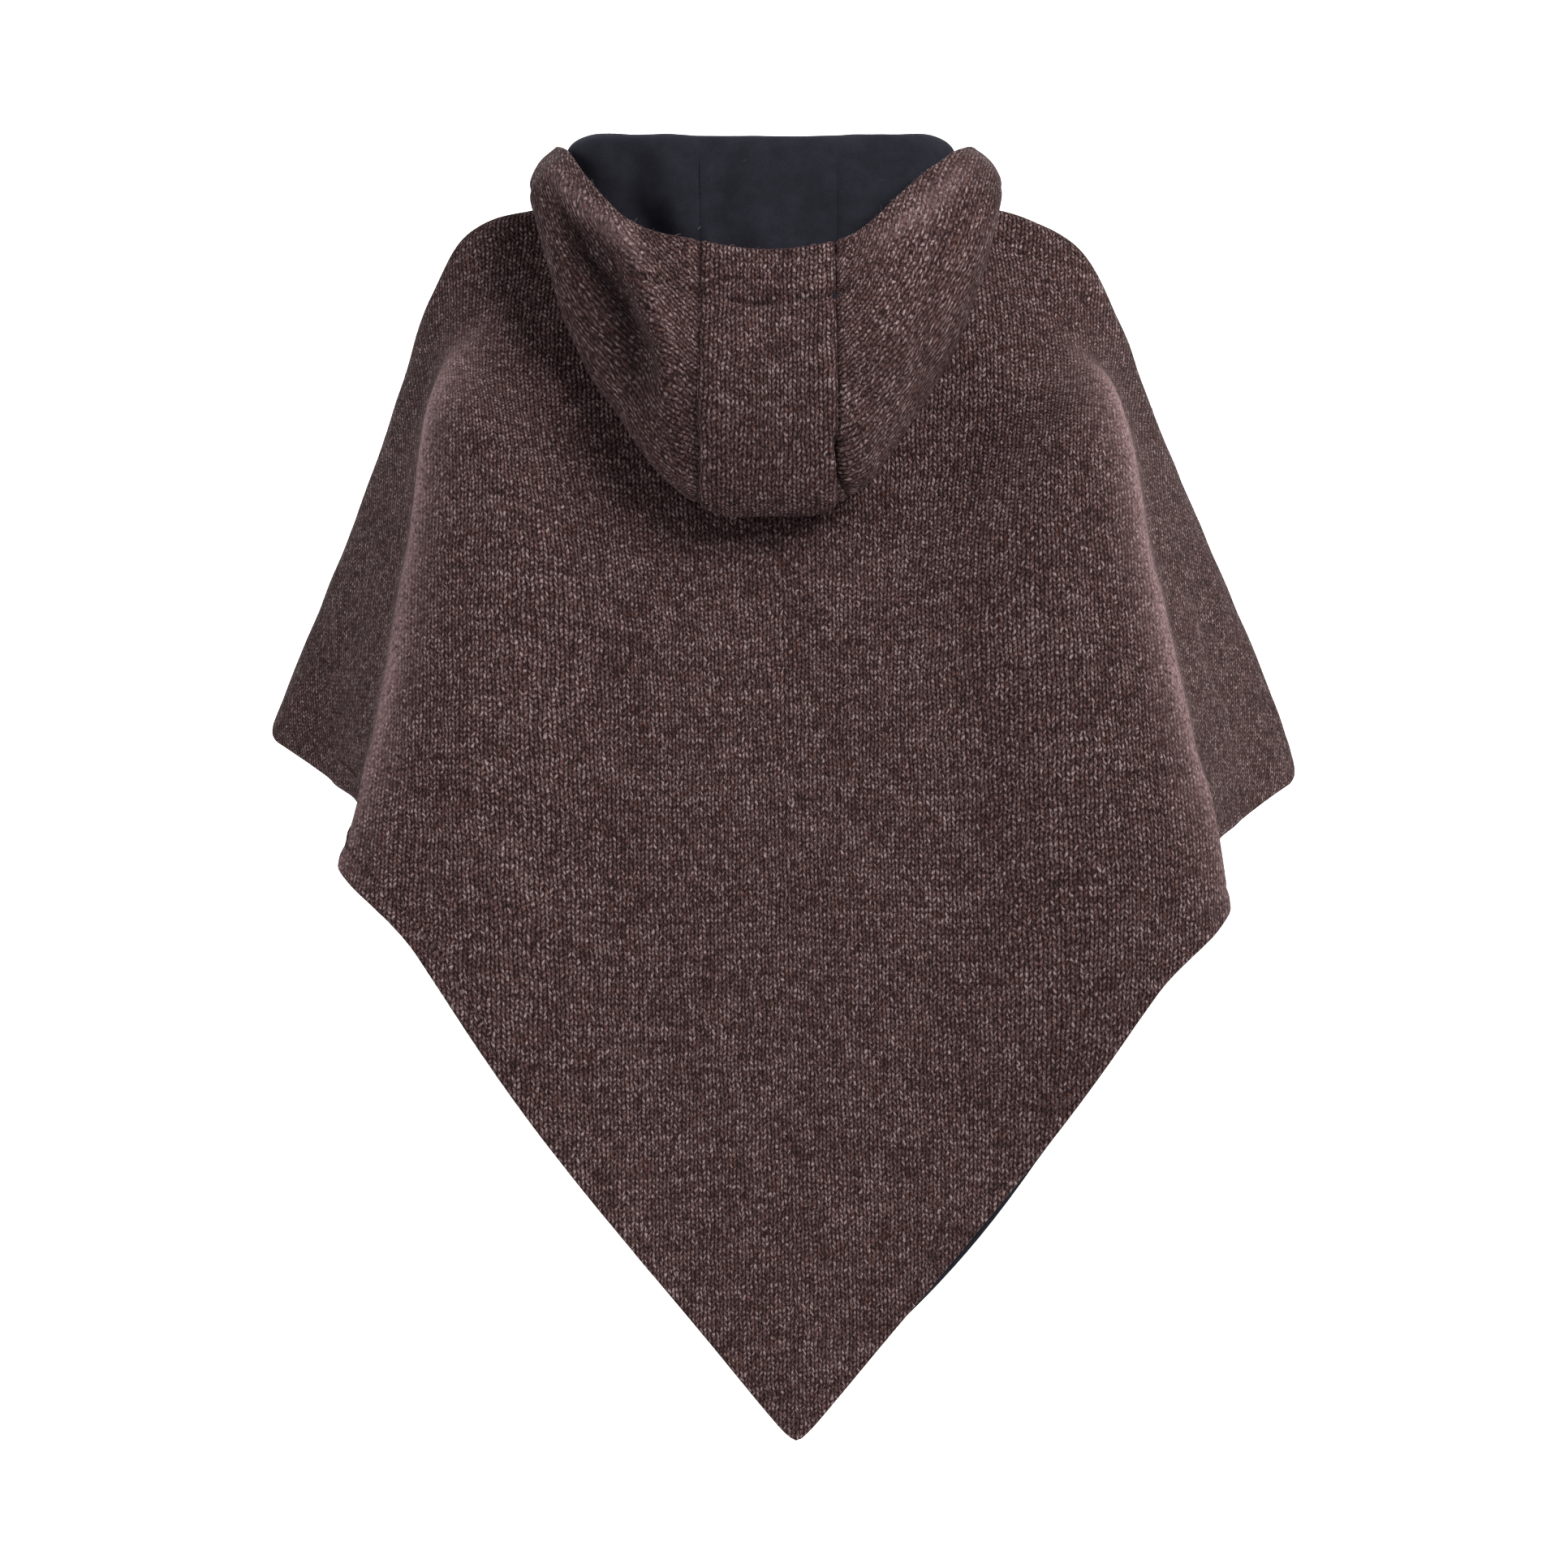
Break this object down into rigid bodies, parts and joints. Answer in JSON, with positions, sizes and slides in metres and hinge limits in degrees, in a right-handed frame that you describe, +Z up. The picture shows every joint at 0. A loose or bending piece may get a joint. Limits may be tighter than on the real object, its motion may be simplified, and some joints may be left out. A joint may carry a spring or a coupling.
{
  "type": "hooded wool poncho",
  "caption": "Hooded poncho of brown wool knit, lined in navy fleece, filled out as worn, with the hood lying down on the back and a pointed hem front and back.",
  "frame": {"origin": "middle of the neck opening, at the height of the center back neck seam", "axes": "+Z up, +Y towards the front of the wearer, +X towards the wearer's right"},
  "size_m": [0.7174, 0.3828, 0.8963],
  "materials": {
    "wool_knit": "matte knit",
    "navy_fleece": "matte fleece"
  },
  "bodies": {
    "root": {"back_panel": "wool_knit", "front_panel": "wool_knit", "back_lining": "navy_fleece", "front_lining": "navy_fleece", "hood_center": "wool_knit", "hood_left": "wool_knit", "hood_right": "wool_knit", "hood_center_lining": "navy_fleece", "hood_left_lining": "navy_fleece", "hood_right_lining": "navy_fleece"}
  },
  "joints": []
}
